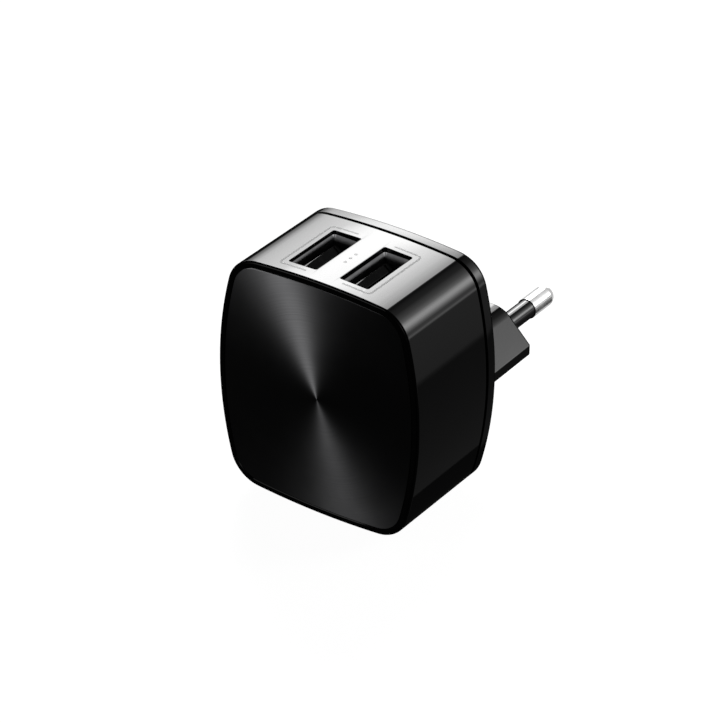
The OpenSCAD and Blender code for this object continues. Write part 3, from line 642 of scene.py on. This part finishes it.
board_rear_y = -23.05
port_steel = coat("port_steel", (0.25, 0.25, 0.255), (0.33, 0.33, 0.335), 1.5, (0.42, 0.52), 0.2, 0.002,
                  Metallic=0.5)


def strip(name, line, thickness, low, high, taper=0.0):
    """A sheet-metal strip that follows a line of (x, z) points, from one y to another."""
    rings = []
    for i, (x, z) in enumerate(line):
        before, after = line[max(i - 1, 0)], line[min(i + 1, len(line) - 1)]
        d = Vector((after[0] - before[0], after[1] - before[1])).normalized()
        n = Vector((-d.y, d.x)) * thickness / 2
        narrow = taper * max(0.0, i / (len(line) - 1) - 0.7) / 0.3
        y0, y1 = low + narrow, high - narrow
        corners = ((1, y0), (1, y1), (-1, y1), (-1, y0))
        rings.append([((x + face * n.x) * mm, y * mm, (z + face * n.y) * mm) for face, y in corners])
    return thing(name, rings)


def curve_through(points, steps=6):
    """A smooth line through points."""
    out = []
    for i in range(len(points) - 1):
        p0, p1, p2, p3 = (Vector(points[max(0, min(len(points) - 1, i + k))]) for k in (-1, 0, 1, 2))
        for s in range(steps):
            t = s / steps
            out.append(tuple(0.5 * ((2 * p1) + (p2 - p0) * t + (2 * p0 - 5 * p1 + 4 * p2 - p3) * t * t
                                    + (3 * p1 - p0 - 3 * p2 + p3) * t ** 3)))
    out.append(tuple(points[-1]))
    return out


def join(piece, others):
    """Adds other meshes to a piece as they are."""
    bm = bmesh.new()
    bm.from_mesh(piece.data)
    for other in others:
        bm.from_mesh(other.data)
        bpy.data.objects.remove(other)
    bm.to_mesh(piece.data)
    bm.free()


for name, side in (("usb_shell_left", -1), ("usb_shell_right", 1)):
    x = side * port_x
    at = (x, port_y)
    sides = []
    for z, grow in [(steel_bottom_z, 0)] + [(steel_top_z - drop, draw) for drop, draw in steel_roll]:
        half_x, half_y = mouth_half_w + steel_t + grow, mouth_half_l + steel_t + grow
        sides.append(rounded_rectangle(half_x, half_y, fold_r + grow, z, at))
    for z, grow in [(steel_top_z - drop, flare * part) for drop, part in flare_line] + [(steel_bottom_z, 0)]:
        half_x, half_y = mouth_half_w + grow, mouth_half_l + grow
        sides.append(rounded_rectangle(half_x, half_y, fold_inner_r + grow, z, at))
    tube = thing(name + "_folded", sides, close=True)
    parts = []
    for wall_side in (-1, 1):
        for y in spring_rows:
            low_y, high_y = port_y + y - spring_half_w, port_y + y + spring_half_w
            edge = sorted((x + wall_side * window_inner, x + wall_side * window_outer))
            low = (edge[0], low_y - window_room, spring_foot_z)
            high = (edge[1], high_y + window_room, spring_foot_z + spring_len + 0.5)
            carve(tube, block(low, high))
            foot = x + wall_side * (mouth_half_w + steel_t / 2)
            line = [(foot - wall_side * lean, spring_foot_z + rise) for lean, rise in spring_line]
            parts.append(strip("spring", curve_through(line), steel_t, low_y, high_y))
        for row in leg_rows:
            leg = sorted((x + wall_side * mouth_half_w, x + wall_side * (mouth_half_w + steel_t)))
            z = steel_bottom_z + row
            parts.append(block((leg[0], port_y + mouth_half_l + 0.1, z - leg_half_w),
                               (leg[1], board_rear_y + leg_len, z + leg_half_w)))
    join(tube, parts)
    smooth(tube, 0.04, 2, 40)
    dress(tube, port_steel)
    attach(tube, "charger")
    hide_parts(name)

# ---------------------------------------------------------------------------------------
# Receptacle insulators: a block that closes the foot of each shell, moulded in one with the
# tongue that carries the contacts in grooves. The tongue's end slopes and has a narrow
# facet on its plain side, so that a plug slides over it.
block_top_z = 14.6
tongue_t, tongue_half_w, tongue_top_z = 1.84, 5.55, 25.1
tongue_slope = 0.65
tongue_edge = ((0.16, 0), (0.08, 0.02), (0.02, 0.08), (0, 0.15))
facet_deep, facet_len, facet_slope = 0.07, 7.2, 0.17
facet_tool = ((-0.5, -1), (2.5, -1), (2.5, 12), (-0.5, 12))
soft_angle = 7
contact_rows = (-3.5, -1, 1, 3.5)
groove_half_w, groove_deep, groove_end = 0.6, 1.0, 1.1
contact_root_x = -0.42
tail_half_w = 0.3
port_plastic = coat("port_plastic", (0.004, 0.004, 0.0042), (0.007, 0.007, 0.0073), 1.2, (0.05, 0.08), 0.25,
                    0.0005, IOR=1.5)
for name, side in (("usb_insulator_left", -1), ("usb_insulator_right", 1)):
    x = side * port_x
    at = (x - tongue_t / 2, port_y)
    tongue_rings = [rounded_rectangle(tongue_t / 2, tongue_half_w, 0.15, steel_bottom_z + 0.5, at, 3)]
    for drop, draw in tongue_edge:
        tip = (lambda u, x=x, drop=drop: tongue_top_z - drop - tongue_slope * (u - x + tongue_t) / tongue_t)
        tongue_rings.append(rounded_rectangle(tongue_t / 2 - draw, tongue_half_w - draw, 0.15, tip, at, 3))
    moulding = thing(name + "_moulding", tongue_rings)
    facet = []
    for rise in (tongue_top_z - facet_deep, tongue_top_z - facet_deep + 2):
        facet.append([((x - tongue_t + u) * mm, (port_y - tongue_half_w + v) * mm,
                       (rise + facet_deep * v / facet_len - facet_slope * u) * mm) for u, v in facet_tool])
    carve(moulding, thing("tool", facet))
    carve(moulding, block((x - mouth_half_w, port_y - mouth_half_l, steel_bottom_z),
                          (x + mouth_half_w, port_y + mouth_half_l, block_top_z)), "UNION")
    for row in contact_rows:
        y = port_y + row
        carve(moulding, block((x - groove_deep, y - groove_half_w, block_top_z),
                              (x + 1, y + groove_half_w, tongue_top_z - groove_end)))
        carve(moulding, block((x + contact_root_x - 0.15, y - tail_half_w - 0.05, steel_bottom_z - 1),
                              (x + contact_root_x + 0.15, y + tail_half_w + 0.05, block_top_z + 1)))
    moulding.data.set_sharp_from_angle(angle=math.radians(soft_angle))
    smooth(moulding, 0.03, 1, 50)
    dress(moulding, port_plastic)
    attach(moulding, "charger")
    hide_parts(name)

# ---------------------------------------------------------------------------------------
# Contacts: four phosphor-bronze springs a port, gold plated where a plug's pads slide over
# them. The free end of each bows out of its groove and tucks back in at the tip. The fixed
# tails below run through the block and are soldered into the board.
contact_half_w, contact_t, knuckle_r = 0.5, 0.2, 0.15
root_z = block_top_z + 0.6
contact_line = ((contact_root_x, 0), (-0.09, 3.3), (0.24, 6.5), (0.5, 7.4), (0.42, 7.9), (-0.2, 8.5))
gold_contact = coat("gold_contact", (0.72, 0.5, 0.18), (0.86, 0.63, 0.27), 0.6, (0.14, 0.24), 0.12, 0.001,
                    Metallic=1.0)
for name, side, body in (("usb_contacts_left", -1, "left_contacts"),
                         ("usb_contacts_right", 1, "right_contacts")):
    x = side * port_x
    line = curve_through([(x + lean, root_z + rise) for lean, rise in contact_line])
    blades = []
    for row in contact_rows:
        y = port_y + row
        blades.append(strip("blade", line, contact_t, y - contact_half_w, y + contact_half_w, 0.12))
        knuckle = [[((x + contact_root_x + knuckle_r * math.cos(math.pi * i / 8)) * mm, end * mm,
                     (root_z + knuckle_r * math.sin(math.pi * i / 8)) * mm) for i in range(16)]
                   for end in (y - contact_half_w, y + contact_half_w)]
        blades.append(thing("knuckle", knuckle))
    springs = blades.pop(0)
    springs.name = name + "_springs"
    join(springs, blades)
    smooth(springs, 0.03, 2, 50)
    dress(springs, gold_contact)
    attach(springs, body)
    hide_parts(name)
tail_tin = coat("tail_tin", (0.66, 0.5, 0.26), (0.76, 0.6, 0.33), 0.7, (0.2, 0.34), 0.15, 0.002,
                Metallic=1.0)
for name in ("usb_tails_left", "usb_tails_right"):
    dress(frame["nodes"][name], tail_tin)
    smooth(frame["nodes"][name], 0.03)

# ---------------------------------------------------------------------------------------
# Printed lines: one thin bracket round each port and three dots between them, pad printed
# in grey ink on the shell's top. They carry no letters.
line_w = 0.36
bracket_gap = 1.15
bracket_r = 0.7
bracket_reach = 1.6
bracket_steps, bend_steps = 12, 8
dot_r, dot_pitch, dot_steps = 0.32, 1.6, 16
ink_t, ink_sunk = 0.01, 0.02
print_grey = coat("print_grey", (0.05, 0.05, 0.05), (0.08, 0.08, 0.08), 4, (0.07, 0.09), 1.4, 0.0005,
                  IOR=1.5, Specular_IOR_Level=0.22)


def printed(name, left, right):
    """A flat line of ink between two edges of (x, y) points, laid on the shell's top."""
    rings = []
    for a, b in zip(left, right):
        rings.append([(p[0] * mm, p[1] * mm, (top_z(p[0]) + rise) * mm)
                      for p, rise in ((a, -ink_sunk), (b, -ink_sunk), (b, ink_t), (a, ink_t))])
    made = thing(name, rings)
    smooth(made)
    dress(made, print_grey)
    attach(made, "charger")


for name, side in (("print_line_left", -1), ("print_line_right", 1)):
    edges = []
    for offset in (bracket_gap - line_w / 2, bracket_gap + line_w / 2):
        half_x, half_y = opening_w / 2 + offset, opening_l / 2 + offset
        r = bracket_r + offset - bracket_gap
        arm = [port_x - bracket_reach + (half_x - r + bracket_reach) * i / bracket_steps
               for i in range(bracket_steps + 1)]
        edge = [(x, port_y - half_y) for x in arm]
        bend_x = port_x + half_x - r
        for bend_y, start in ((port_y - half_y + r, -90), (port_y + half_y - r, 0)):
            for i in range(bend_steps + 1):
                t = math.radians(start + 90 * i / bend_steps)
                edge.append((bend_x + r * math.cos(t), bend_y + r * math.sin(t)))
        edge += [(x, port_y + half_y) for x in arm[::-1]]
        edges.append([(side * x, y) for x, y in edge])
    printed(name, *edges)
for i, y in enumerate((-dot_pitch, 0, dot_pitch)):
    rows = [math.pi * k / dot_steps for k in range(dot_steps + 1)]
    left = [(-dot_r * math.sin(t) - 0.001, port_y + y - dot_r * math.cos(t)) for t in rows]
    right = [(dot_r * math.sin(t) + 0.001, port_y + y - dot_r * math.cos(t)) for t in rows]
    printed(f"print_dot_{i + 1}", left, right)

# ---------------------------------------------------------------------------------------
# Studio: a pale floor, a curved bank of lamps behind the charger that draws the streaks along
# its top and shoulders, and a weak one in front for its rear faces. Soft lamps make the
# wedges on the plate, rake the steel in the ports, and light the pins and the rear.
def glow(name, strength, fade):
    """A lamp's face, its strength from a ramp over the angle round the bank."""
    made = bpy.data.materials.new(name)
    made.use_nodes = True
    tree = made.node_tree
    tree.nodes.clear()
    lamp = node(tree, "ShaderNodeEmission", Strength=strength)
    out = node(tree, "ShaderNodeOutputMaterial")
    tree.links.new(lamp.outputs[0], out.inputs["Surface"])
    parts = node(tree, "ShaderNodeSeparateXYZ", Vector=node(tree, "ShaderNodeTexCoord").outputs["Object"])
    turn = node(tree, "ShaderNodeMath", operation="ARCTAN2")
    tree.links.new(parts.outputs["X"], turn.inputs[0])
    tree.links.new(parts.outputs["Z"], turn.inputs[1])
    first, last = fade[0][0], fade[-1][0]
    share = node(tree, "ShaderNodeMapRange", Value=turn.outputs[0], From_Min=math.radians(first),
                 From_Max=math.radians(last))
    stops = [((a - first) / (last - first), level) for a, level in fade]
    tree.links.new(ramp(tree, share.outputs["Result"], stops), lamp.inputs["Color"])
    return made


# The slope of each stretch of the body's side, in degrees from level, and how bright the
# bank is that it mirrors. The bank's own angle goes up twice as fast as the slope.
bank_reach = 1.5
bank_rings = (0.84, 1.0, 1.6)
bank_ends = (-91, 160)
bank_turn = 43.3
bank_z = 0.02
bank_top = 12
bank_slope = [(-24, 0.3), (-16.6, 1.2), (-8, 3.7), (-4.3, 6.3), (-3.4, 8.5), (-1.4, 11), (0.5, 11),
              (3.4, 8), (4.3, 6.5), (5.2, 5.3), (15, 4.6), (15.7, 0.3), (18, 0.05), (24, 0.17),
              (30, 0.25), (39, 0.85), (42, 1.3), (45, 1.9), (48, 3.5), (51, 4.8), (54, 4.4),
              (57, 2.8), (60, 1.4), (63, 0.6), (66, 0.6), (69, 1.2), (72, 0.25), (81.8, 0.17),
              (82.6, 0.05), (102, 0.055)]
bank_fade = [(2 * slope - bank_turn, level / bank_top) for slope, level in bank_slope]


def lamp_bank(name, y, strength, spared):
    """A ring-shaped sheet of lamps across the charger's axis, which leaves some pieces unlit."""
    rings = []
    for radius in bank_rings:
        rings.append([(bank_reach * radius * math.sin(math.radians(a)), 0,
                       bank_reach * radius * math.cos(math.radians(a)))
                      for a in range(bank_ends[0], bank_ends[1] + 1)])
    count = len(rings[0])
    faces = [(r * count + i, r * count + i + 1, (r + 1) * count + i + 1, (r + 1) * count + i)
             for r in range(len(rings) - 1) for i in range(count - 1)]
    mesh = bpy.data.meshes.new(name)
    mesh.from_pydata([p for ring in rings for p in ring], [], faces)
    bank = bpy.data.objects.new(name, mesh)
    bpy.context.scene.collection.objects.link(bank)
    bank.location = (0, y, bank_z)
    bank.visible_camera = False
    dress(bank, glow(name + "_glow", strength, bank_fade))
    missed = bpy.data.collections.new(name + "_misses")
    for piece in spared:
        missed.objects.link(bpy.data.objects[piece])
    for entry in missed.collection_objects:
        entry.light_linking.link_state = "EXCLUDE"
    bank.light_linking.receiver_collection = missed


receptacles = ["usb_shell_left_folded", "usb_shell_right_folded"]
lamp_bank("rear_bank", 1.47, bank_top, receptacles)
lamp_bank("front_bank", -1.55, 0.8, receptacles + ["spun_plate"])

floor_top = cad_box[0].z / mm - 0.2
floor_half, floor_t = 8000, 10
floor = block((-floor_half, -floor_half, floor_top - floor_t), (floor_half, floor_half, floor_top), "floor")
floor_white = bpy.data.materials.new("floor_white")
floor_white.use_nodes = True
shader = floor_white.node_tree.nodes["Principled BSDF"]
shader.inputs["Base Color"].default_value = (0.25, 0.25, 0.25, 1)
shader.inputs["Roughness"].default_value = 0.9
shader.inputs["Specular IOR Level"].default_value = 0.0
shader.inputs["Emission Color"].default_value = (1, 1, 1, 1)
shader.inputs["Emission Strength"].default_value = 0.97
floor_white.cycles.emission_sampling = "NONE"
dress(floor, floor_white)
floor.visible_glossy = False
floor.visible_diffuse = False
floor.visible_shadow = False


def soft_lamp(name, aim, toward, distance, size, power, lit=()):
    """A soft lamp that looks at a point from a direction. It can be kept to a few pieces."""
    made = bpy.data.lights.new(name, "AREA")
    made.shape, made.size, made.size_y, made.energy = "ELLIPSE", size[0], size[1], power
    lamp = bpy.data.objects.new(name, made)
    bpy.context.scene.collection.objects.link(lamp)
    toward = Vector(toward).normalized()
    lamp.location = Vector(aim) * mm + toward * distance
    lamp.rotation_mode = "QUATERNION"
    lamp.rotation_quaternion = toward.to_track_quat("Z", "Y")
    lamp.visible_camera = False
    if lit:
        only = bpy.data.collections.new(name + "_lights")
        for piece in lit:
            only.objects.link(bpy.data.objects[piece])
        lamp.light_linking.receiver_collection = only


soft_lamp("plate_lamp", (0, plate_front_y, body_z), (-0.77, -0.54, 0.335), 1.5, (0.5, 0.5), 12,
          ["spun_plate"])
for name, toward, power in (("port_side_lamp", (1, 0, 0.21), 9), ("port_front_lamp", (0, -1, 0.1), 4.5)):
    soft_lamp(name, (0, port_y, steel_top_z), toward, 1.2, (0.12, 0.12), power, receptacles)
soft_lamp("pin_lamp", (pin_x, pin_len, 0), (0.05, 1, 0.25), 1.55, (5, 5), 46,
          ["live_pin_bar", "neutral_pin_bar"])
soft_lamp("rear_lamp", (0, rear_y, body_z), (-0.8, 1.45, -0.1), 1.66, (0.6, 1.2), 5)

# The room is dim where it is mirrored, and white where it is seen past the floor's edge.
world = bpy.data.worlds.new("room")
bpy.context.scene.world = world
world.use_nodes = True
tree = world.node_tree
sky = tree.nodes["Background"]
sky.inputs["Color"].default_value = (0.012, 0.012, 0.012, 1)
seen = node(tree, "ShaderNodeBackground", Color=(1, 1, 1, 1))
rays = node(tree, "ShaderNodeLightPath")
pick = node(tree, "ShaderNodeMixShader", Fac=rays.outputs["Is Camera Ray"])
tree.links.new(sky.outputs[0], pick.inputs[1])
tree.links.new(seen.outputs[0], pick.inputs[2])
tree.links.new(pick.outputs[0], tree.nodes["World Output"].inputs["Surface"])

# The camera stands to the right of the charger's front and looks down on it.
azimuth, elevation, roll = math.radians(35.06), math.radians(31.31), math.radians(0.37)
camera_far, shift_right, shift_up = 600, 7.82, 6.66
back = Vector((math.sin(azimuth) * math.cos(elevation), -math.cos(azimuth) * math.cos(elevation),
               math.sin(elevation)))
right = Vector((math.cos(azimuth), math.sin(azimuth), 0))
up = back.cross(right)
camera_right = right * math.cos(roll) + up * math.sin(roll)
camera_up = up * math.cos(roll) - right * math.sin(roll)
aim = Vector((0, front_y, body_z))
lens = bpy.data.cameras.new("camera")
lens.lens, lens.sensor_width = 172.4, 36
lens.clip_start, lens.clip_end = 0.05, 30
camera = bpy.data.objects.new("camera", lens)
bpy.context.scene.collection.objects.link(camera)
stand = (aim + back * camera_far + camera_right * shift_right + camera_up * shift_up) * mm
turn = Matrix((camera_right, camera_up, back)).transposed().to_4x4()
camera.matrix_world = Matrix.Translation(stand) @ turn
bpy.context.scene.camera = camera
bpy.context.scene.view_settings.view_transform = "Standard"
